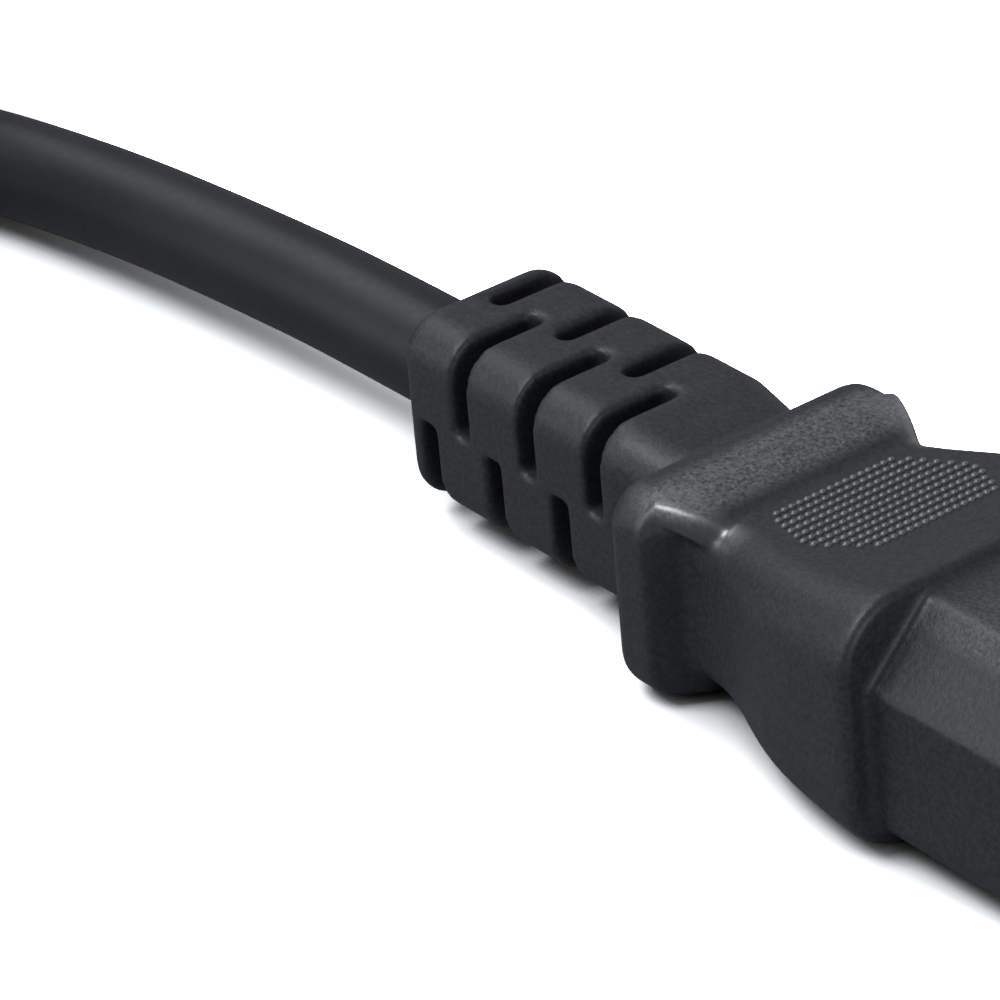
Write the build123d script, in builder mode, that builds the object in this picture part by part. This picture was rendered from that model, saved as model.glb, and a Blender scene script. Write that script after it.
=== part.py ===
from build123d import *
from math import cos, pi, radians, sin, tan
import os

os.makedirs("parts", exist_ok=True)

# A computer power cord, in millimetres.
# The connector lies along X with its open nose toward +X and the cord leaving toward -X.
# The origin is at the bottom centre of the connector. The cord's spare length is wound into
# a tied hank behind it, and the wall plug lies beyond the hank.

# Connector, along its own axis
nose_length = 16.5
grip_length = 27.4
relief_length = 28.1
connector_length = nose_length + grip_length + relief_length
relief_rear_x = -connector_length / 2
cord_axis_height = 8.5

# Nose: the part that goes into the appliance inlet, with its earth side up
nose_width = 24.0
nose_height = 16.0
nose_chamfer = 5.0
nose_corner = 2.0
nose_front_edge = 0.5
nose_axis_height = 9.3

# Grip: sections as distance behind the shoulder, width, bottom, top and corner radius
grip_sections = (
    (23.4, 18.0, 1.6, 14.4, 2.4),
    (20.5, 18.1, 1.6, 14.5, 2.5),
    (17.0, 19.6, 1.4, 15.0, 2.8),
    (13.0, 22.9, 0.9, 15.7, 3.3),
    (8.5, 25.7, 0.4, 16.6, 3.8),
    (4.0, 27.3, 0.12, 17.6, 4.3),
    (0.0, 28.0, 0.0, 18.5, 4.7),
)
shoulder_edge = 0.5

# Collar: the finger flange behind the waist, its steep front, and the brow over both scoops
collar_width = 23.0
collar_bottom = 0.3
collar_top = 15.7
collar_corner = 3.0
collar_rim = 4.1
collar_slope = 1.5
collar_front_width = 17.6
collar_front_corner = 2.6
collar_rear_edge = 1.8
brow_sections = (
    (0.0, 21.6, 13.8, 15.7, 0.9),
    (2.6, 19.4, 13.2, 15.5, 1.0),
    (5.4, 16.4, 11.8, 14.4, 1.1),
)

# Strain relief: a block with quarter-ring slots, staggered corner to corner
relief_width = 13.9
relief_height = 14.1
relief_corner = 3.0
relief_rear_edge = 1.1
relief_taper = 4.8
relief_neck = 12.7
relief_neck_corner = 3.0
relief_core = 9.4
relief_core_corner = 2.4
slot_width = 1.75
slot_pitch = 7.35
slot_stagger = 4.0
slot_start = 2.5
slot_pairs = 3
slot_past_middle = 0.5
slot_short_of_middle = 0.1
slot_end_radius = 0.75
slot_side_end_radius = 0.3
length_tolerance = 0.01

# Insert: the hard carrier of the three receptacles
insert_wall = 1.9
insert_length = 24.0
entry_width = 2.4
entry_height = 4.5
entry_depth = 1.6
contact_spacing = 14.0
earth_offset = 4.0
receptacle_width = 2.8
receptacle_height = 5.0
receptacle_sheet = 0.4
receptacle_seam = 0.8
receptacle_length = 14.0
receptacle_clearance = 0.05
neck_length = 1.6
neck_width = 1.6
barrel_length = 4.5
barrel_wall = 0.6

# Cord and its three conductors
cord_diameter = 8.0
jacket_in_housing = 29.5
wire_radius = 1.25
copper_radius = 0.63
wire_circle = 1.56
wire_bend_radius = 3.0
wire_straight = 2.0
wire_gap_to_barrel = 0.8
copper_into_barrel = 3.5

# Hank: an oval coil of two columns of turns, arched where the entering cord passes under it
hank_front_x = -102.0
hank_centre_y = -22.0
hank_loop_spacing = 50.0
hank_inner_radius = 24.0
hank_levels = 3
hank_columns = 2
hank_arch_start = 30.0
hank_arch_end = 16.0
tie_width = 6.0
tie_thickness = 0.8
near_tie_x = -180.0
far_tie_x = -163.0

# Wall plug: sections as distance in front of its strain relief, width, height and corner radius
plug_entry_x = -244.0
plug_y = -45.0
plug_sections = (
    (0.0, 17.0, 16.0, 4.5),
    (6.0, 19.5, 18.5, 5.5),
    (13.0, 22.8, 21.4, 6.8),
    (20.0, 24.9, 23.3, 7.6),
    (27.0, 26.0, 24.4, 8.0),
)
plug_face_edge = 0.8
plug_body_length = plug_sections[-1][0]
plug_axis_height = plug_sections[-1][2] / 2
bridge_width = 19.6
bridge_height = 19.0
bridge_corner = 3.0
bridge_thickness = 6.0
blade_spacing = 12.7
blade_width = 6.35
blade_thickness = 1.5
blade_length = 17.5
blade_drop = 6.0
blade_hole = 3.2
blade_hole_from_tip = 4.8
blade_tip_corner = 1.6
ground_pin_diameter = 4.8
ground_pin_length = 21.4
ground_pin_neck = 0.5
ground_pin_root = 3.8
ground_pin_rise = 11.9
ground_pin_tip = 1.6

# The free cord's route, chosen by hand
cord_radius = cord_diameter / 2
hank_floor = cord_radius + tie_thickness
run_points = (
    (relief_rear_x + jacket_in_housing, 0.0, cord_axis_height),
    (-46.0, 0.0, cord_axis_height),
    (-66.0, 0.1, 7.2),
    (-84.0, -0.2, 5.7),
    (-101.0, -2.6, 4.6),
    (-116.0, -9.0, 4.25),
    (-131.0, -20.0, 4.6),
    (-145.0, -33.0, hank_floor),
    (-160.0, -42.2, hank_floor),
    (-176.0, -45.6, hank_floor),
)
tail_points = (
    (-185.0, -54.0, hank_floor),
    (-206.5, -54.0, hank_floor),
    (-231.0, plug_y, plug_axis_height),
    (plug_entry_x - jacket_in_housing, plug_y, plug_axis_height),
)

# Worked out: the hank's plan and the distances along each moulding
column_width = hank_columns * cord_diameter
hole_radius = hank_inner_radius - cord_radius
hank_radius = hole_radius + column_width
hank_height = hank_levels * cord_diameter
hank_centre_x = hank_front_x - hank_radius - hank_loop_spacing / 2
hank_rear_x = hank_centre_x - hank_radius - hank_loop_spacing / 2
shoulder_along = relief_length + grip_length
insert_rear_along = connector_length - insert_length
receptacle_front_along = connector_length - entry_depth
receptacle_rear_along = receptacle_front_along - receptacle_length
barrel_front_along = receptacle_rear_along - neck_length
barrel_rear_along = barrel_front_along - barrel_length
barrel_radius = copper_radius + barrel_wall
nose_rise = nose_axis_height - cord_axis_height
plug_face_along = relief_length + plug_body_length
bridge_rear_along = plug_face_along - bridge_thickness
plug_barrel_rear_along = bridge_rear_along - barrel_length

connector_base = Plane(
    origin=(relief_rear_x, 0, cord_axis_height), x_dir=(0, 1, 0), z_dir=(1, 0, 0)
)
plug_base = Plane(
    origin=(plug_entry_x, plug_y, plug_axis_height), x_dir=(0, -1, 0), z_dir=(-1, 0, 0)
)

# The three poles: which side of the middle each lies, and its angle in the cord
poles = {"line": (-1, 210), "neutral": (1, 330), "earth": (0, 90)}


def save(part, name):
    """Label a finished piece and write it."""
    part.label = name
    export_step(part, f"parts/{name}.step")


# Cord


def corner_radii(points):
    """Arcs of a cord's route, each as large as its two runs allow."""
    corners = [Vector(*p) for p in points]
    radii = []
    for before, corner, after in zip(corners, corners[1:], corners[2:]):
        turn = radians((corner - before).get_angle(after - corner))
        shorter = min((corner - before).length, (after - corner).length)
        radii.append(0.45 * shorter / tan(turn / 2))
    return radii


def cord_tube(points, name):
    """A plain tube along a route of straight runs joined by tangent arcs."""
    radii = corner_radii(points)
    with BuildPart() as tube:
        with BuildLine():
            path = FilletPolyline(*points, radius=radii)
        with BuildSketch(Plane(origin=path @ 0, z_dir=path % 0)):
            Circle(cord_radius)
        sweep()
    ideal = path.length * pi * cord_radius**2
    print(name, "radii in diameters", [round(r / cord_diameter, 1) for r in radii])
    print(name, "length", round(path.length, 1), "volume ratio", tube.part.volume / ideal)
    save(tube.part, name)
    return tube.part


cord_run = cord_tube(run_points, "cord_run")
cord_tail = cord_tube(tail_points, "cord_tail")


# Hank


def bundle_outline(column_levels):
    """Outline of a stack of strands, given how many lie in each column from the inside out."""
    with BuildSketch() as outline:
        for column, levels in enumerate(column_levels):
            across = hank_inner_radius + column * cord_diameter
            with Locations((across, hank_floor), (across, hank_floor + (levels - 1) * cord_diameter)):
                Circle(cord_radius)
        make_hull()
    return outline.sketch


def tie_plane(x, side):
    """A plane across one long side of the hank, its local x pointing away from the middle."""
    return Plane(
        origin=(x - side * tie_width / 2, hank_centre_y, 0), x_dir=(0, side, 0), z_dir=(side, 0, 0)
    )


ties = {
    "cord_tie_near": (near_tie_x, -1, (hank_levels, hank_levels)),
    "cord_tie_far": (far_tie_x, 1, (hank_levels, hank_levels - 1)),
}

with BuildPart() as cord_hank:
    with BuildSketch():
        with Locations((hank_centre_x, hank_centre_y)):
            SlotCenterToCenter(hank_loop_spacing, 2 * hank_radius)
            SlotCenterToCenter(hank_loop_spacing, 2 * hole_radius, mode=Mode.SUBTRACT)
    extrude(amount=2 * hank_height)
    arch_start_x = hank_front_x - hank_radius - hank_arch_start
    arch_end_x = hank_front_x - hank_radius + hank_arch_end
    with BuildSketch(Plane.XZ.offset(-hank_centre_y)):
        with BuildLine():
            lines = []
            for height in (tie_thickness, tie_thickness + hank_height):
                flat = Line((hank_rear_x, height), (arch_start_x, height))
                ramp = Spline(
                    (arch_start_x, height),
                    (arch_end_x, height + cord_diameter),
                    tangents=((1, 0), (1, 0)),
                )
                top = Line(ramp @ 1, (hank_front_x, height + cord_diameter))
                lines.append((flat, top))
            Line(lines[0][0] @ 0, lines[1][0] @ 0)
            Line(lines[0][1] @ 1, lines[1][1] @ 1)
        make_face()
    extrude(amount=2 * hank_radius, both=True, mode=Mode.INTERSECT)
    for x, side, column_levels in ties.values():
        with BuildSketch(tie_plane(x, side)):
            with Locations((hole_radius + column_width / 2, hank_height / 2)):
                Rectangle(column_width + cord_diameter, hank_height + cord_diameter)
        extrude(amount=tie_width, mode=Mode.SUBTRACT)
        with BuildSketch(tie_plane(x, side)):
            add(bundle_outline(column_levels))
        extrude(amount=tie_width)
    add(cord_run, mode=Mode.SUBTRACT)
    add(cord_tail, mode=Mode.SUBTRACT)
save(cord_hank.part, "cord_hank")

for name, (x, side, column_levels) in ties.items():
    with BuildPart() as tie:
        with BuildSketch(tie_plane(x, side)):
            add(bundle_outline(column_levels))
            offset(amount=tie_thickness, mode=Mode.REPLACE)
            add(bundle_outline(column_levels), mode=Mode.SUBTRACT)
        extrude(amount=tie_width)
    save(tie.part, name)


# Features that both mouldings share


def strain_relief(base):
    """The slotted relief, from its cord end at the base plane toward the housing."""
    with BuildPart() as relief:
        with BuildSketch(base):
            RectangleRounded(relief_width, relief_height, relief_corner)
        extrude(amount=relief_length - relief_taper)
        rear_face = relief.faces().sort_by_distance(base.origin)[0]
        fillet(rear_face.edges(), relief_rear_edge)
        with BuildSketch(base.offset(relief_length - relief_taper)):
            RectangleRounded(relief_width, relief_height, relief_corner)
        with BuildSketch(base.offset(relief_length)):
            RectangleRounded(relief_neck, relief_neck, relief_neck_corner)
        loft()
        across = relief_width + slot_past_middle
        down = relief_width - slot_short_of_middle
        beside = across / 2 - slot_past_middle
        above = down / 2 + slot_short_of_middle
        for pair in range(slot_pairs):
            for stagger, side in ((0.0, 1), (slot_stagger, -1)):
                start = slot_start + pair * slot_pitch + stagger - slot_width / 2
                with BuildSketch(base.offset(start)):
                    with Locations((side * beside, above), (-side * beside, -above)):
                        Rectangle(across, down)
                    RectangleRounded(
                        relief_core, relief_core, relief_core_corner, mode=Mode.SUBTRACT
                    )
                extrude(amount=slot_width, mode=Mode.SUBTRACT)
        for direction, side_length, radius in (
            (Axis.Y, relief_width, slot_side_end_radius),
            (Axis.Z, relief_height, slot_end_radius),
        ):
            depth = (side_length - relief_core) / 2
            ends = relief.edges().filter_by(direction)
            ends = ends.filter_by(lambda edge: abs(edge.length - depth) < length_tolerance)
            fillet(ends, radius)
    return relief.part


def wire_route(base, pole, end, end_along):
    """A conductor's corners from the jacket's end, through the moulding, to its contact."""
    angle = radians(poles[pole][1])
    start = (wire_circle * cos(angle), wire_circle * sin(angle))
    local = (
        (*start, jacket_in_housing),
        (*start, jacket_in_housing + wire_straight),
        (*end, end_along - wire_straight),
        (*end, end_along),
    )
    return [base.from_local_coords(Vector(*corner)) for corner in local]


def round_wire(corners, outer, inner=0.0, extra=0.0):
    """A round conductor, or its hollow insulation, swept along its route."""
    last_run = (corners[-1] - corners[-2]).normalized()
    ends = corners[:-1] + [corners[-1] + last_run * extra]
    with BuildPart() as wire:
        with BuildLine():
            path = FilletPolyline(*ends, radius=wire_bend_radius)
        with BuildSketch(Plane(origin=path @ 0, z_dir=path % 0)):
            Circle(outer)
            if inner > 0:
                Circle(inner, mode=Mode.SUBTRACT)
        sweep()
    return wire.part


def save_wire(corners, pole, place):
    """Write the insulation and the copper of one conductor, bare where the barrel grips it."""
    bare = wire_gap_to_barrel + copper_into_barrel
    save(round_wire(corners, wire_radius, copper_radius), f"{pole}_insulation_{place}")
    save(round_wire(corners, copper_radius, extra=bare), f"{pole}_copper_{place}")


def barrel_ring(place):
    """The section of a crimp barrel."""
    with BuildSketch() as ring:
        with Locations(place):
            Circle(barrel_radius)
            Circle(copper_radius, mode=Mode.SUBTRACT)
    return ring.sketch


# Connector


def nose_outline(shrink=0.0):
    """The nose's outline, or a smaller one inside it for the insert."""
    with BuildSketch() as outline:
        with Locations((0, nose_rise)):
            Rectangle(nose_width, nose_height)
        chamfer(outline.vertices().group_by(Axis.Y)[-1], nose_chamfer)
        fillet(outline.vertices().group_by(Axis.Y)[0], nose_corner)
        if shrink > 0:
            offset(amount=-shrink, mode=Mode.REPLACE)
    return outline.sketch


def contact_place(pole):
    """Where a pole's receptacle lies in the nose, from the cord's axis."""
    side = poles[pole][0]
    rise = earth_offset / 2 if side == 0 else -earth_offset / 2
    return (side * contact_spacing / 2, nose_rise + rise)


def barrel_place(pole):
    """Where a pole's crimp barrel lies, its underside in line with the receptacle's."""
    across, height = contact_place(pole)
    return (across, height - receptacle_height / 2 + barrel_radius)


contact_places = [contact_place(pole) for pole in poles]

with BuildPart() as connector_insert:
    with BuildSketch(connector_base.offset(insert_rear_along)):
        add(nose_outline(insert_wall))
    extrude(amount=insert_length)
    with BuildSketch(connector_base.offset(receptacle_front_along)):
        with Locations(*contact_places):
            Rectangle(entry_width, entry_height)
    extrude(amount=entry_depth, mode=Mode.SUBTRACT)
    with BuildSketch(connector_base.offset(insert_rear_along)):
        with Locations(*contact_places):
            Rectangle(
                receptacle_width + 2 * receptacle_clearance,
                receptacle_height + 2 * receptacle_clearance,
            )
    extrude(amount=receptacle_front_along - insert_rear_along, mode=Mode.SUBTRACT)
save(connector_insert.part, "connector_insert")

# Receptacles: a folded sheet box with a seam, a neck and a crimped barrel
for pole in poles:
    across, height = contact_place(pole)
    base_height = height - receptacle_height / 2 + receptacle_sheet / 2
    with BuildPart() as contact:
        with BuildSketch(connector_base.offset(receptacle_rear_along)):
            with Locations((across, height)):
                Rectangle(receptacle_width, receptacle_height)
                Rectangle(
                    receptacle_width - 2 * receptacle_sheet,
                    receptacle_height - 2 * receptacle_sheet,
                    mode=Mode.SUBTRACT,
                )
            with Locations((across, height + receptacle_height / 2)):
                Rectangle(receptacle_seam, 3 * receptacle_sheet, mode=Mode.SUBTRACT)
        extrude(amount=receptacle_length)
        with BuildSketch(connector_base.offset(barrel_front_along)):
            with Locations((across, base_height)):
                Rectangle(neck_width, receptacle_sheet)
        extrude(amount=neck_length)
        with BuildSketch(connector_base.offset(barrel_rear_along)):
            add(barrel_ring(barrel_place(pole)))
        extrude(amount=barrel_length)
    save(contact.part, f"contact_{pole}")


def finger_collar():
    """The collar's rim, its steep front and the brow that runs down to the waist."""
    centre = (collar_top + collar_bottom) / 2 - cord_axis_height
    tall = collar_top - collar_bottom
    with BuildPart() as collar:
        with BuildSketch(connector_base.offset(relief_length)):
            with Locations((0, centre)):
                RectangleRounded(collar_width, tall, collar_corner)
        extrude(amount=collar_rim)
        fillet(collar.faces().sort_by(Axis.X)[0].edges(), collar_rear_edge)
        slope_along = relief_length + collar_rim
        for along, width, corner in (
            (slope_along, collar_width, collar_corner),
            (slope_along + collar_slope, collar_front_width, collar_front_corner),
        ):
            with BuildSketch(connector_base.offset(along)):
                with Locations((0, centre)):
                    RectangleRounded(width, tall, corner)
        loft()
        for ahead, width, bottom, top, corner in brow_sections:
            with BuildSketch(connector_base.offset(slope_along + ahead)):
                with Locations((0, (bottom + top) / 2 - cord_axis_height)):
                    RectangleRounded(width, top - bottom, corner)
        loft()
    return collar.part


connector_routes = {
    pole: wire_route(
        connector_base, pole, barrel_place(pole), barrel_rear_along - wire_gap_to_barrel
    )
    for pole in poles
}

with BuildPart() as connector_overmould:
    for behind, width, bottom, top, corner in grip_sections:
        with BuildSketch(connector_base.offset(shoulder_along - behind)):
            with Locations((0, (bottom + top) / 2 - cord_axis_height)):
                RectangleRounded(width, top - bottom, corner)
    loft()
    fillet(connector_overmould.faces().sort_by(Axis.X)[-1].edges(), shoulder_edge)
    with BuildSketch(connector_base.offset(shoulder_along)):
        add(nose_outline())
    extrude(amount=nose_length)
    fillet(connector_overmould.faces().sort_by(Axis.X)[-1].edges(), nose_front_edge)
    add(finger_collar())
    add(strain_relief(connector_base))
    with BuildSketch(connector_base):
        Circle(cord_radius)
    extrude(amount=jacket_in_housing, mode=Mode.SUBTRACT)
    with BuildSketch(connector_base.offset(insert_rear_along)):
        add(nose_outline(insert_wall))
    extrude(amount=insert_length, mode=Mode.SUBTRACT)
    for corners in connector_routes.values():
        add(round_wire(corners, wire_radius), mode=Mode.SUBTRACT)
save(connector_overmould.part, "connector_overmould")

for pole, corners in connector_routes.items():
    save_wire(corners, pole, "at_connector")


# Plug


def blade_place(pole):
    """Where a pole's blade or pin leaves the plug's face, from the cord's axis."""
    side = poles[pole][0]
    rise = ground_pin_rise - blade_drop if side == 0 else -blade_drop
    return (side * blade_spacing / 2, rise)


def bridge_sketch():
    """The outline of the plug's hard bridge."""
    with BuildSketch() as outline:
        RectangleRounded(bridge_width, bridge_height, bridge_corner)
    return outline.sketch


plug_routes = {
    pole: wire_route(plug_base, pole, blade_place(pole), plug_barrel_rear_along - wire_gap_to_barrel)
    for pole in poles
}


for pole in ("line", "neutral"):
    across, height = blade_place(pole)
    side_plane = Plane(
        origin=plug_base.from_local_coords(Vector(across - blade_thickness / 2, height, 0)),
        x_dir=(-1, 0, 0),
        z_dir=(0, -1, 0),
    )
    tip_along = plug_face_along + blade_length
    with BuildPart() as blade:
        with BuildSketch(side_plane) as flank:
            with Locations(((bridge_rear_along + tip_along) / 2, 0)):
                Rectangle(tip_along - bridge_rear_along, blade_width)
            fillet(flank.vertices().group_by(Axis.X)[0], blade_tip_corner)
            with Locations((tip_along - blade_hole_from_tip, 0)):
                Circle(blade_hole / 2, mode=Mode.SUBTRACT)
        extrude(amount=blade_thickness)
        with BuildSketch(plug_base.offset(plug_barrel_rear_along)):
            add(barrel_ring(blade_place(pole)))
        extrude(amount=barrel_length)
    save(blade.part, f"blade_{pole}")

with BuildPart() as ground_pin:
    with BuildSketch(plug_base.offset(bridge_rear_along)):
        with Locations(blade_place("earth")):
            Circle(ground_pin_root / 2)
    extrude(amount=bridge_thickness + ground_pin_neck)
    with BuildSketch(plug_base.offset(plug_face_along + ground_pin_neck)):
        with Locations(blade_place("earth")):
            Circle(ground_pin_diameter / 2)
    extrude(amount=ground_pin_length - ground_pin_neck)
    fillet(ground_pin.faces().sort_by(Axis.X)[0].edges(), ground_pin_tip)
    with BuildSketch(plug_base.offset(plug_barrel_rear_along)):
        add(barrel_ring(blade_place("earth")))
    extrude(amount=barrel_length)
save(ground_pin.part, "ground_pin")

with BuildPart() as plug_bridge:
    with BuildSketch(plug_base.offset(bridge_rear_along)):
        add(bridge_sketch())
        with Locations(blade_place("line"), blade_place("neutral")):
            Rectangle(blade_thickness, blade_width, mode=Mode.SUBTRACT)
        with Locations(blade_place("earth")):
            Circle(ground_pin_root / 2, mode=Mode.SUBTRACT)
    extrude(amount=bridge_thickness)
    with BuildSketch(plug_base.offset(plug_face_along - ground_pin_neck)):
        with Locations(blade_place("earth")):
            Circle(ground_pin_diameter / 2)
    extrude(amount=ground_pin_neck, mode=Mode.SUBTRACT)
save(plug_bridge.part, "plug_bridge")

with BuildPart() as plug_overmould:
    for ahead, width, height, corner in plug_sections:
        with BuildSketch(plug_base.offset(relief_length + ahead)):
            RectangleRounded(width, height, corner)
    loft()
    fillet(plug_overmould.faces().sort_by(Axis.X)[0].edges(), plug_face_edge)
    add(strain_relief(plug_base))
    with BuildSketch(plug_base):
        Circle(cord_radius)
    extrude(amount=jacket_in_housing, mode=Mode.SUBTRACT)
    with BuildSketch(plug_base.offset(bridge_rear_along)):
        add(bridge_sketch())
    extrude(amount=bridge_thickness, mode=Mode.SUBTRACT)
    bare = wire_gap_to_barrel + barrel_length
    for corners in plug_routes.values():
        add(round_wire(corners, wire_radius, extra=bare), mode=Mode.SUBTRACT)
save(plug_overmould.part, "plug_overmould")

for pole, corners in plug_routes.items():
    save_wire(corners, pole, "at_plug")
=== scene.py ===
import math

import bpy
from mathutils import Matrix, Vector
from mathutils.bvhtree import BVHTree


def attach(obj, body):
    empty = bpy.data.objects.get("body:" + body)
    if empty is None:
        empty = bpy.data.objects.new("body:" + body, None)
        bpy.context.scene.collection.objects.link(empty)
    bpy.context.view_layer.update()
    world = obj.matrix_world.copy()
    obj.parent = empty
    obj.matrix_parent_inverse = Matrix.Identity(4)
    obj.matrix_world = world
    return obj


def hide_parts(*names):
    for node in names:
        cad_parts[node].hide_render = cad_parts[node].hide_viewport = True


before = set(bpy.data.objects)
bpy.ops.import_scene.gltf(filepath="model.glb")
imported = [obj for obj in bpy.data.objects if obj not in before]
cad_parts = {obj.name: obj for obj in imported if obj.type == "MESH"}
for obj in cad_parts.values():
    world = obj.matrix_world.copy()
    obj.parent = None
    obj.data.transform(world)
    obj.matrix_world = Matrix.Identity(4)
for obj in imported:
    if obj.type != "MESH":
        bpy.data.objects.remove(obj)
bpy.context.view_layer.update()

MM = 0.001


def mm(*values):
    """A point given in millimetres, in metres."""
    return Vector(values) * MM


# Materials

ZONE_CORE = 0.6


class Nodes:
    """A short way to write a node tree."""

    def __init__(self, tree):
        self.tree = tree

    def feed(self, socket, value):
        """Give a socket another node's value, a colour or a number."""
        if isinstance(value, bpy.types.NodeSocket):
            self.tree.links.new(value, socket)
        elif isinstance(value, tuple):
            socket.default_value = (*value, 1.0)
        else:
            socket.default_value = value

    def add(self, kind, inputs=None, **settings):
        """A new node with its settings and inputs."""
        node = self.tree.nodes.new(kind)
        for name, value in settings.items():
            setattr(node, name, value)
        for name, value in (inputs or {}).items():
            self.feed(node.inputs[name], value)
        return node

    def position(self):
        """A point's place in its piece's own frame."""
        return self.add("ShaderNodeTexCoord").outputs["Object"]

    def noise(self, scale, detail=2.0, roughness=0.5, place=None):
        """Noise of so many cycles a millimetre."""
        node = self.add(
            "ShaderNodeTexNoise",
            {
                "Vector": place or self.position(),
                "Scale": scale / MM,
                "Detail": detail,
                "Roughness": roughness,
            },
        )
        return node.outputs["Fac"]

    def spread(self, source, low, high, from_low=0.3, from_high=0.7):
        """Map a value to another range, and by default most of a noise's own range."""
        limits = {"From Min": from_low, "From Max": from_high, "To Min": low, "To Max": high}
        return self.add("ShaderNodeMapRange", {"Value": source, **limits}).outputs["Result"]

    def two_tone(self, source, dark, light):
        """Blend two colours by a value; each is three numbers or a node's colour."""
        inputs = {"Factor": source, "A": dark, "B": light}
        return self.add("ShaderNodeMix", inputs, data_type="RGBA").outputs["Result"]

    def combine(self, operation, first, second=0.0):
        """Two terms combined by a maths operation; each is a node's value or a number."""
        return self.add("ShaderNodeMath", {0: first, 1: second}, operation=operation).outputs["Value"]

    def bump(self, source, distance, strength=1.0, below=None):
        """A bump of the given depth in millimetres, on top of another."""
        inputs = {"Height": source, "Distance": distance * MM, "Strength": strength}
        if below is not None:
            inputs["Normal"] = below
        return self.add("ShaderNodeBump", inputs).outputs["Normal"]

    def zone(self, centre, half):
        """1 inside a soft-edged box given in millimetres and its mirror across Y, else 0."""
        x, y, z = self.add("ShaderNodeSeparateXYZ", {"Vector": self.position()}).outputs
        windows = []
        for value, middle, reach in zip((x, self.combine("ABSOLUTE", y), z), centre, half):
            away = self.combine("ABSOLUTE", self.combine("SUBTRACT", value, middle * MM))
            windows.append(self.spread(away, 1.0, 0.0, ZONE_CORE * reach * MM, reach * MM))
        in_x, in_y, in_z = windows
        return self.combine("MULTIPLY", self.combine("MULTIPLY", in_x, in_y), in_z)


class Finish(Nodes):
    """A material of one principled shader."""

    def __init__(self, name):
        self.material = bpy.data.materials.new(name)
        self.material.use_nodes = True
        super().__init__(self.material.node_tree)
        self.shader = self.tree.nodes["Principled BSDF"]

    def done(self, **inputs):
        """Feed the shader's inputs, named with _ for a space, and hand the material over."""
        for name, value in inputs.items():
            self.feed(self.shader.inputs[name.replace("_", " ")], value)
        return self.material


def moulded_pvc():
    """Near-black moulded PVC: finely grained, coarser on collar and nose, polished at the scoops; the
    tops of collar and nose carry painted light, a lighter colour where light falls on them.
    """
    m = Finish("moulded_pvc")
    grain = m.noise(2.6, roughness=0.6)
    pits = m.noise(3.6, roughness=0.6)
    patches = m.noise(0.12)
    collar_top = m.zone((-2.9, 0.0, 16.2), (3.1, 15.0, 1.8))
    nose_top = m.zone((34.0, 0.0, 17.0), (16.0, 15.0, 1.6))
    scoop_edge = m.zone((-0.6, 9.8, 14.9), (4.2, 2.8, 1.7))
    # The tops of collar and nose: real coarser grain, and a lighter colour there that is painted
    # light on these lit tops.
    coarse_grain_and_painted_light = m.combine("MAXIMUM", collar_top, m.combine("MULTIPLY", nose_top, 0.5))
    plain = m.two_tone(m.spread(grain, 0, 1), (0.013, 0.014, 0.017), (0.029, 0.031, 0.036))
    frost_and_painted_light = m.two_tone(m.spread(pits, 0, 1), (0.016, 0.018, 0.022), (0.13, 0.133, 0.141))
    pitted = m.combine("MULTIPLY", pits, m.combine("MULTIPLY", coarse_grain_and_painted_light, 2.0))
    worn = m.combine("SUBTRACT", 1.0, scoop_edge)
    height = m.combine("MULTIPLY", m.combine("ADD", grain, pitted), worn)
    smoother = m.combine("MULTIPLY", scoop_edge, 0.16)
    shinier = m.combine("MULTIPLY", scoop_edge, 0.55)
    return m.done(
        # Base colour: plain grain, and painted light on the tops of collar and nose.
        Base_Color=m.two_tone(coarse_grain_and_painted_light, plain, frost_and_painted_light),
        Roughness=m.combine("SUBTRACT", m.spread(patches, 0.44, 0.52), smoother),
        Specular_IOR_Level=m.combine("ADD", shinier, 0.45),
        Coat_Weight=scoop_edge,
        Coat_Roughness=0.44,
        Normal=m.bump(height, 0.035),
    )


def polished_pvc_painted_sheen():
    """The same plastic, worn smooth on the grip's dots, and painted lighter: painted sheen for the
    dots' highlights.
    """
    m = Finish("polished_pvc_painted_sheen")
    tone = m.spread(m.noise(0.5), 0, 1)
    return m.done(
        # A lighter colour than the body's plastic: painted sheen that stands in for the dots'
        # highlights.
        Base_Color=m.two_tone(tone, (0.085, 0.087, 0.092), (0.11, 0.112, 0.118)),
        Roughness=m.spread(m.noise(1.0), 0.30, 0.38),
        Specular_IOR_Level=0.8,
    )


def jacket_pvc():
    """The cord's smooth extruded jacket, with faint unevenness."""
    m = Finish("jacket_pvc")
    fine = m.noise(1.5)
    patches = m.spread(m.noise(0.08), 0, 1)
    return m.done(
        Base_Color=m.two_tone(patches, (0.009, 0.010, 0.012), (0.014, 0.015, 0.018)),
        Roughness=m.spread(fine, 0.43, 0.49),
        Specular_IOR_Level=0.4,
        Normal=m.bump(fine, 0.008, 0.6),
    )


def hard_plastic():
    """The smoother plastic of the insert and the bridge."""
    m = Finish("hard_plastic")
    fine = m.noise(2.0)
    tone = m.spread(fine, 0, 1)
    return m.done(
        Base_Color=m.two_tone(tone, (0.012, 0.012, 0.013), (0.020, 0.020, 0.021)),
        Roughness=m.spread(m.noise(0.3), 0.28, 0.36),
        Normal=m.bump(fine, 0.006, 0.5),
    )


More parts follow.
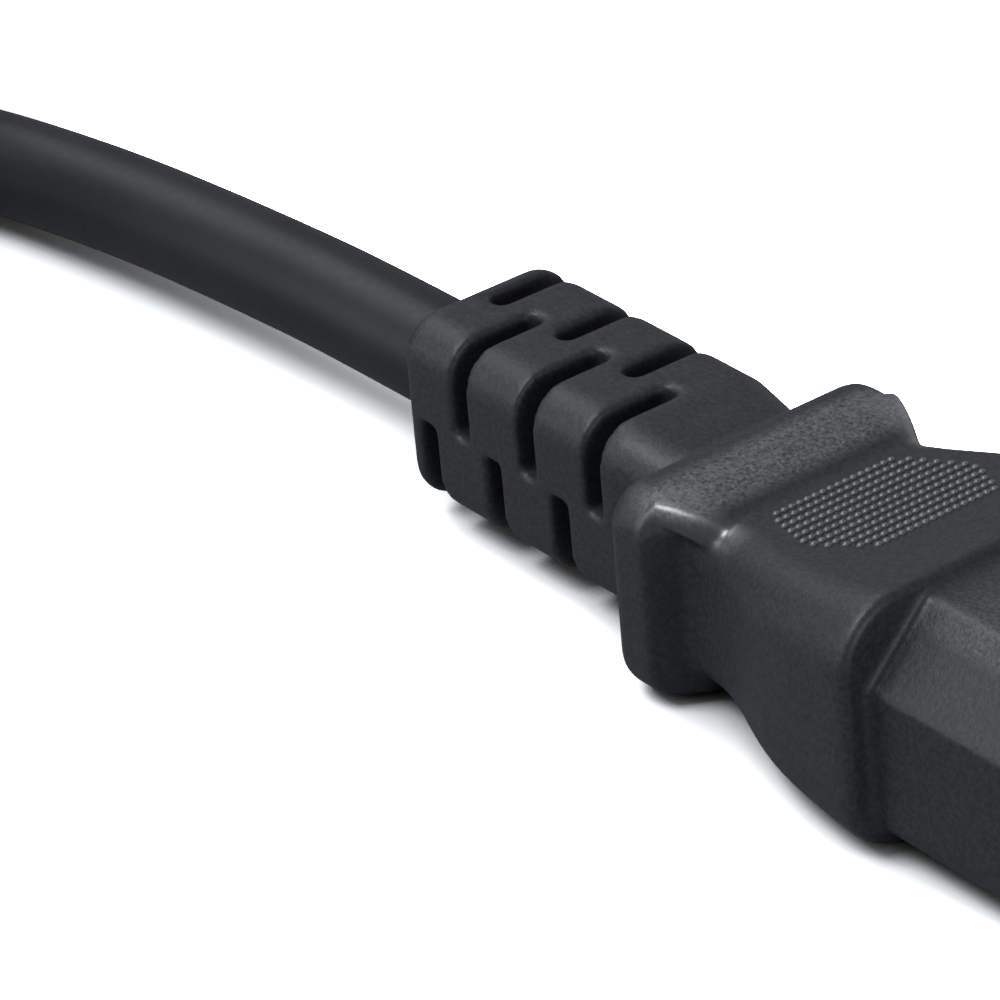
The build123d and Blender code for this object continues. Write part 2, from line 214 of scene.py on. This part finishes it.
def metal(name, dark, light, smooth, rough):
    """Bare or plated metal with fine drawing lines along X."""
    m = Finish(name)
    along_x = {"Vector": m.position(), "Scale": Vector((0.05, 1.0, 1.0))}
    stretched = m.add("ShaderNodeMapping", along_x).outputs["Vector"]
    lines = m.noise(6.0, 3.0, place=stretched)
    return m.done(
        Base_Color=m.two_tone(m.spread(lines, 0, 1), dark, light),
        Metallic=1.0,
        Roughness=m.spread(lines, smooth, rough),
        Normal=m.bump(lines, 0.004, 0.5),
    )


def wire_plastic(name, dark, light):
    """Smooth coloured insulation."""
    m = Finish(name)
    fine = m.noise(1.2)
    return m.done(
        Base_Color=m.two_tone(m.spread(fine, 0, 1), dark, light),
        Roughness=m.spread(fine, 0.34, 0.42),
        Normal=m.bump(fine, 0.004, 0.5),
    )


def strap_weave():
    """The woven strap of a cord tie."""
    m = Finish("strap_weave")
    weave = {"Vector": m.position(), "Scale": 0.45 / MM, "Distortion": 1.5}
    ribs = m.add("ShaderNodeTexWave", weave, bands_direction="X").outputs["Fac"]
    fuzz = m.noise(4.0)
    tone = m.spread(fuzz, 0, 1)
    return m.done(
        Base_Color=m.two_tone(tone, (0.028, 0.028, 0.030), (0.060, 0.060, 0.064)),
        Roughness=0.85,
        Specular_IOR_Level=0.25,
        Normal=m.bump(fuzz, 0.05, 0.8, below=m.bump(ribs, 0.05, 0.6)),
    )


PVC = moulded_pvc()
POLISHED_WITH_SHEEN = polished_pvc_painted_sheen()
JACKET = jacket_pvc()
HARD = hard_plastic()
BRASS = metal("contact_brass", (0.55, 0.40, 0.16), (0.74, 0.57, 0.26), 0.24, 0.36)
NICKEL = metal("nickel_plate", (0.52, 0.50, 0.46), (0.72, 0.70, 0.66), 0.16, 0.28)
COPPER = metal("bare_copper", (0.60, 0.26, 0.14), (0.80, 0.42, 0.27), 0.28, 0.42)
STRAP = strap_weave()
WIRES = {
    "line": wire_plastic("line_insulation_black", (0.012, 0.012, 0.012), (0.025, 0.025, 0.025)),
    "neutral": wire_plastic("neutral_insulation_white", (0.68, 0.67, 0.64), (0.80, 0.79, 0.76)),
    "earth": wire_plastic("earth_insulation_green", (0.02, 0.16, 0.05), (0.03, 0.24, 0.08)),
}


def dress(piece, material):
    """Give a piece one material all over."""
    if piece.material_slots:
        for slot in piece.material_slots:
            slot.material = material
    else:
        piece.data.materials.append(material)


def dress_nodes():
    """Give every node that stays its own finish."""
    finishes = {
        "connector_insert": HARD,
        "plug_bridge": HARD,
        "blade_line": NICKEL,
        "blade_neutral": NICKEL,
        "ground_pin": NICKEL,
        "cord_tie_near": STRAP,
        "cord_tie_far": STRAP,
    }
    for pole, plastic in WIRES.items():
        finishes[f"contact_{pole}"] = BRASS
        for place in ("connector", "plug"):
            finishes[f"{pole}_insulation_at_{place}"] = plastic
            finishes[f"{pole}_copper_at_{place}"] = COPPER
    for name, material in finishes.items():
        dress(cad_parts[name], material)


# Cord: the free route is listed, and the hank's turns are worked out

CORD_DIAMETER = 8.0
CORD_AXIS = 8.5
HANK_FLOOR = 4.8
RUN_POINTS = (
    (-6.5, 0.0, CORD_AXIS),
    (-46.0, 0.0, CORD_AXIS),
    (-66.0, 0.1, 7.2),
    (-84.0, -0.2, 5.7),
    (-101.0, -2.6, 4.6),
    (-116.0, -9.0, 4.25),
    (-131.0, -20.0, 4.6),
    (-145.0, -33.0, HANK_FLOOR),
    (-160.0, -42.2, HANK_FLOOR),
    (-176.0, -45.6, HANK_FLOOR),
)
TAIL_POINTS = (
    (-185.0, -54.0, HANK_FLOOR),
    (-206.5, -54.0, HANK_FLOOR),
    (-231.0, -45.0, 12.2),
    (-273.5, -45.0, 12.2),
)
FRONT_LOOP_X = -138.0
REAR_LOOP_X = -188.0
HANK_Y = -22.0
INNER_RADIUS = 24.0
OUTER_RADIUS = INNER_RADIUS + CORD_DIAMETER
TURNS, INNER_TURNS = 5, 3
ARCH_START_X = FRONT_LOOP_X - 30.0
ARCH_END_X = FRONT_LOOP_X + 16.0
STRAIGHT_X = (-178.0, -163.0, -148.0)
LOOP_STEP = 30
SETTLE_FROM, SETTLE_OVER = 10.0, 100.0


def ease(value):
    """Rise smoothly from 0 to 1."""
    t = min(max(value, 0.0), 1.0)
    return t * t * (3 - 2 * t)


def arch(x):
    """How far the hank is lifted where the entering cord passes under it."""
    return CORD_DIAMETER * ease((x - ARCH_START_X) / (ARCH_END_X - ARCH_START_X))


def loop_points(centre_x, way, radius, height):
    """Half a turn at one end of the hank; radius and height are functions of the angle and x."""
    reach = 1 / math.cos(math.radians(LOOP_STEP / 2))
    points = []
    for angle in range(LOOP_STEP // 2, 180, LOOP_STEP):
        r = radius(angle) * reach
        x = centre_x + way * r * math.sin(math.radians(angle))
        y = HANK_Y + way * r * math.cos(math.radians(angle))
        points.append((x, y, height(angle, x)))
    return points


def hank_points():
    """Five turns: three climb the inner column, then two come down the outer one."""
    points = []
    for turn in range(TURNS):
        inner = turn < INNER_TURNS
        climbs = turn < INNER_TURNS - 1
        radius = INNER_RADIUS if inner else OUTER_RADIUS
        next_radius = radius if climbs else OUTER_RADIUS
        near_z = HANK_FLOOR + (turn if inner else TURNS - turn) * CORD_DIAMETER
        far_z = near_z if inner else near_z - CORD_DIAMETER

        def settle(angle, x):
            return near_z + (far_z - near_z) * ease((angle - SETTLE_FROM) / SETTLE_OVER)

        def climb(angle, x):
            return far_z + (CORD_DIAMETER if climbs and angle >= 90 else arch(x))

        def widen(angle):
            return radius + (next_radius - radius) * ease(angle / 180)

        points += loop_points(REAR_LOOP_X, -1, lambda angle: radius, settle)
        points += [(x, HANK_Y + radius, far_z + arch(x)) for x in STRAIGHT_X]
        points += loop_points(FRONT_LOOP_X, 1, widen, climb)
        for x in reversed(STRAIGHT_X):
            if turn < TURNS - 1 or x > TAIL_POINTS[0][0] + CORD_DIAMETER:
                z = far_z + (CORD_DIAMETER if climbs else arch(x))
                points.append((x, HANK_Y - next_radius, z))
    return points


def make_cord():
    """The whole free cord, as one round tube along one smooth line."""
    curve = bpy.data.curves.new("cord", "CURVE")
    curve.dimensions = "3D"
    curve.bevel_depth = CORD_DIAMETER / 2 * MM
    curve.bevel_resolution = 7
    curve.resolution_u = 10
    curve.use_fill_caps = True
    route = [*RUN_POINTS, *hank_points(), *TAIL_POINTS]
    spline = curve.splines.new("NURBS")
    spline.points.add(len(route) - 1)
    for point, place in zip(spline.points, route):
        point.co = (*mm(*place), 1.0)
    spline.order_u = 3
    spline.use_endpoint_u = True
    cord = bpy.data.objects.new("cord", curve)
    bpy.context.collection.objects.link(cord)
    dress(cord, JACKET)
    return cord


# Mouldings: the solids' shapes with the soft edges that a mould leaves

SOFT_VOXEL = 0.3
SMOOTH_FACTOR = 0.5
SMOOTH_PASSES = 6
KEPT_SHARE = 0.6


def soften(name):
    """A moulding's own shape with every edge rounded a little."""
    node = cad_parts[name]
    piece = node.copy()
    piece.data = node.data.copy()
    piece.name = f"{name}_soft"
    bpy.context.collection.objects.link(piece)
    remesh = piece.modifiers.new("remesh", "REMESH")
    remesh.mode = "VOXEL"
    remesh.voxel_size = SOFT_VOXEL * MM
    smooth = piece.modifiers.new("smooth", "SMOOTH")
    smooth.factor = SMOOTH_FACTOR
    smooth.iterations = SMOOTH_PASSES
    thin = piece.modifiers.new("thin", "DECIMATE")
    thin.ratio = KEPT_SHARE
    graph = bpy.context.evaluated_depsgraph_get()
    mesh = bpy.data.meshes.new_from_object(piece.evaluated_get(graph))
    piece.modifiers.clear()
    piece.data = mesh
    mesh.shade_smooth()
    mesh.materials.clear()
    mesh.materials.append(PVC)
    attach(piece, "root")
    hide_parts(name)
    return piece


# Grip pad: small domes in rows across the grip, longest in the middle row

PAD_FROM_X, PAD_TO_X, PAD_WIDEST_X = 2.3, 12.5, 7.9
PAD_END_HALF, PAD_WIDEST_HALF = 5.0, 7.1
PAD_ROWS = 11
DOT_PITCH = 0.65
DOT_RADIUS = 0.3
DOT_HEIGHT = 0.26
DOT_SIDES = 10
DOT_RINGS = ((-0.3, 1.0), (0.35, 0.92), (0.8, 0.6))
ABOVE_PAD_Z = 40.0


def pad_half_width(x):
    """Half the pad's width at a place along the grip."""
    if x < PAD_WIDEST_X:
        t = (PAD_WIDEST_X - x) / (PAD_WIDEST_X - PAD_FROM_X)
    else:
        t = (x - PAD_WIDEST_X) / (PAD_TO_X - PAD_WIDEST_X)
    return PAD_WIDEST_HALF + (PAD_END_HALF - PAD_WIDEST_HALF) * t


def pad_places():
    """Where the dots stand, row by row."""
    for row in range(PAD_ROWS):
        x = PAD_FROM_X + (PAD_TO_X - PAD_FROM_X) * row / (PAD_ROWS - 1)
        steps = round(2 * pad_half_width(x) / DOT_PITCH)
        for step in range(steps + 1):
            yield x, (step - steps / 2) * DOT_PITCH


def dome_points(ground, up):
    """A dome's rings of points, from its sunk foot up, and then its tip."""
    side = up.orthogonal().normalized()
    across = up.cross(side)
    points = []
    for lift, reach in DOT_RINGS:
        for k in range(DOT_SIDES):
            turn = 2 * math.pi * k / DOT_SIDES
            out = side * math.cos(turn) + across * math.sin(turn)
            points.append(ground + out * (DOT_RADIUS * reach * MM) + up * (DOT_HEIGHT * lift * MM))
    return [*points, ground + up * (DOT_HEIGHT * MM)]


def dome_faces(first):
    """A dome's faces, where its points start at the number first."""
    faces = []
    for ring in range(len(DOT_RINGS) - 1):
        low = first + ring * DOT_SIDES
        for k in range(DOT_SIDES):
            after = (k + 1) % DOT_SIDES
            faces.append((low + k, low + after, low + DOT_SIDES + after, low + DOT_SIDES + k))
    tip = first + len(DOT_RINGS) * DOT_SIDES
    top = tip - DOT_SIDES
    faces += [(top + k, top + (k + 1) % DOT_SIDES, tip) for k in range(DOT_SIDES)]
    return [*faces, tuple(first + k for k in reversed(range(DOT_SIDES)))]


def grip_dots(moulding):
    """The pad's domes, each set upright on the moulding's surface."""
    tree = BVHTree.FromObject(moulding, bpy.context.evaluated_depsgraph_get())
    to_world = moulding.matrix_world
    to_local = to_world.inverted()
    down = to_local.to_3x3() @ Vector((0, 0, -1))
    vertices, faces = [], []
    for x, y in pad_places():
        ground, normal, _, _ = tree.ray_cast(to_local @ mm(x, y, ABOVE_PAD_Z), down)
        faces += dome_faces(len(vertices))
        vertices += dome_points(to_world @ ground, (to_world.to_3x3() @ normal).normalized())
    mesh = bpy.data.meshes.new("grip_dots")
    mesh.from_pydata(vertices, [], faces)
    mesh.shade_smooth()
    dots = bpy.data.objects.new("grip_dots", mesh)
    bpy.context.collection.objects.link(dots)
    dress(dots, POLISHED_WITH_SHEEN)
    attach(dots, "root")


# Stage, camera and light

FLOOR_HALF = 6.0
FLOOR_BOUNCE = (0.45, 0.45, 0.45)
FLOOR_MIRRORED = (0.22, 0.22, 0.22)
FLOOR_WHITE = 4.8
# Reach and depth of the painted contact shadow on the floor.
PAINTED_SHADOW_REACH = 11.0
PAINTED_SHADOW_DEPTH = 1.6


def make_floor():
    """A floor that the camera sees as white, apart from the shadow where the cord lies: the lamps'
    own shadow, with a painted contact shadow added.
    """
    mesh = bpy.data.meshes.new("floor")
    corners = [(x * FLOOR_HALF, y * FLOOR_HALF, 0) for x, y in ((-1, -1), (1, -1), (1, 1), (-1, 1))]
    mesh.from_pydata(corners, [], [(0, 1, 2, 3)])
    floor = bpy.data.objects.new("floor", mesh)
    bpy.context.collection.objects.link(floor)
    m = Finish("floor_white")
    path = m.add("ShaderNodeLightPath").outputs
    bounced = m.two_tone(path["Is Glossy Ray"], FLOOR_BOUNCE, FLOOR_MIRRORED)
    # Painted contact shadow: ambient occlusion darkens the floor's colour, as the camera sees it,
    # near the cord and connector.
    nearby = m.add("ShaderNodeAmbientOcclusion", {"Distance": PAINTED_SHADOW_REACH * MM}, samples=16)
    contact = m.combine("POWER", nearby.outputs["AO"], PAINTED_SHADOW_DEPTH)
    seen = m.combine("MULTIPLY", contact, FLOOR_WHITE)
    colour = m.two_tone(path["Is Camera Ray"], bounced, seen)
    diffuse = m.add("ShaderNodeBsdfDiffuse", {"Color": colour})
    m.feed(m.tree.nodes["Material Output"].inputs["Surface"], diffuse.outputs["BSDF"])
    m.tree.nodes.remove(m.shader)
    dress(floor, m.material)


def make_camera():
    """The photograph's viewing angle, with the lens worked out from its focal length in pixels."""
    azimuth, elevation, roll = (math.radians(a) for a in (55.1, 29.85, 5.33))
    target = mm(19.5, 0.0, 9.0)
    right_shift, up_shift, distance = 32.59 * MM, 10.41 * MM, 366.54 * MM
    focal_pixels, image_pixels, sensor_mm = 5800.0, 1000.0, 36.0
    right = Vector((math.cos(azimuth), math.sin(azimuth), 0))
    forward = Vector((
        -math.sin(azimuth) * math.cos(elevation),
        math.cos(azimuth) * math.cos(elevation),
        -math.sin(elevation),
    ))
    up = right.cross(forward)
    image_x = right * math.cos(roll) - up * math.sin(roll)
    image_y = right * math.sin(roll) + up * math.cos(roll)
    data = bpy.data.cameras.new("camera")
    data.lens = focal_pixels / image_pixels * sensor_mm
    data.sensor_width = sensor_mm
    data.clip_start, data.clip_end = 0.01, 50.0
    camera = bpy.data.objects.new("camera", data)
    turn = Matrix((image_x, image_y, -forward)).transposed()
    place = target - image_x * right_shift + image_y * up_shift - forward * distance
    camera.matrix_world = Matrix.Translation(place) @ turn.to_4x4()
    bpy.context.collection.objects.link(camera)
    bpy.context.scene.camera = camera


SKY_GLOW = (0.22, 0.22, 0.225)
SKY_SEEN = (1.0, 1.0, 1.0)
LAMP_TINT = (0.93, 0.97, 1.0)
# Each lamp's place and size in metres and its power in watts
LAMPS = {
    "key": ((-0.70, 0.02, 0.72), (0.5, 0.5), 2.0),
    "top": ((-0.24, -0.50, 0.88), (0.4, 0.4), 7.0),
    "side": ((-0.62, -0.85, 0.27), (0.8, 0.45), 2.0),
    "front": ((0.95, -0.10, 0.20), (0.4, 0.4), 2.4),
    "back": ((-0.15, 0.95, 0.35), (0.9, 0.9), 1.0),
}


def make_lamp(name, place, size, power):
    """A soft rectangular lamp that faces the origin."""
    data = bpy.data.lights.new(name, "AREA")
    data.shape = "RECTANGLE"
    data.size, data.size_y = size
    data.energy = power
    data.color = LAMP_TINT
    lamp = bpy.data.objects.new(name, data)
    lamp.location = place
    lamp.rotation_mode = "QUATERNION"
    lamp.rotation_quaternion = (-Vector(place)).to_track_quat("-Z", "Y")
    bpy.context.collection.objects.link(lamp)


def make_light():
    """A dim sky that the camera sees as white, and the lamps."""
    world = bpy.data.worlds.new("studio")
    world.use_nodes = True
    sky = Nodes(world.node_tree)
    path = sky.add("ShaderNodeLightPath").outputs
    colour = sky.two_tone(path["Is Camera Ray"], SKY_GLOW, SKY_SEEN)
    sky.feed(sky.tree.nodes["Background"].inputs["Color"], colour)
    bpy.context.scene.world = world
    for name, (place, size, power) in LAMPS.items():
        make_lamp(name, place, size, power)


dress_nodes()
connector_soft = soften("connector_overmould")
soften("plug_overmould")
grip_dots(connector_soft)
cord = make_cord()
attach(cord, "root")
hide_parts("cord_run", "cord_hank", "cord_tail")

make_floor()
make_camera()
make_light()

view = bpy.context.scene.view_settings
view.view_transform = "Standard"
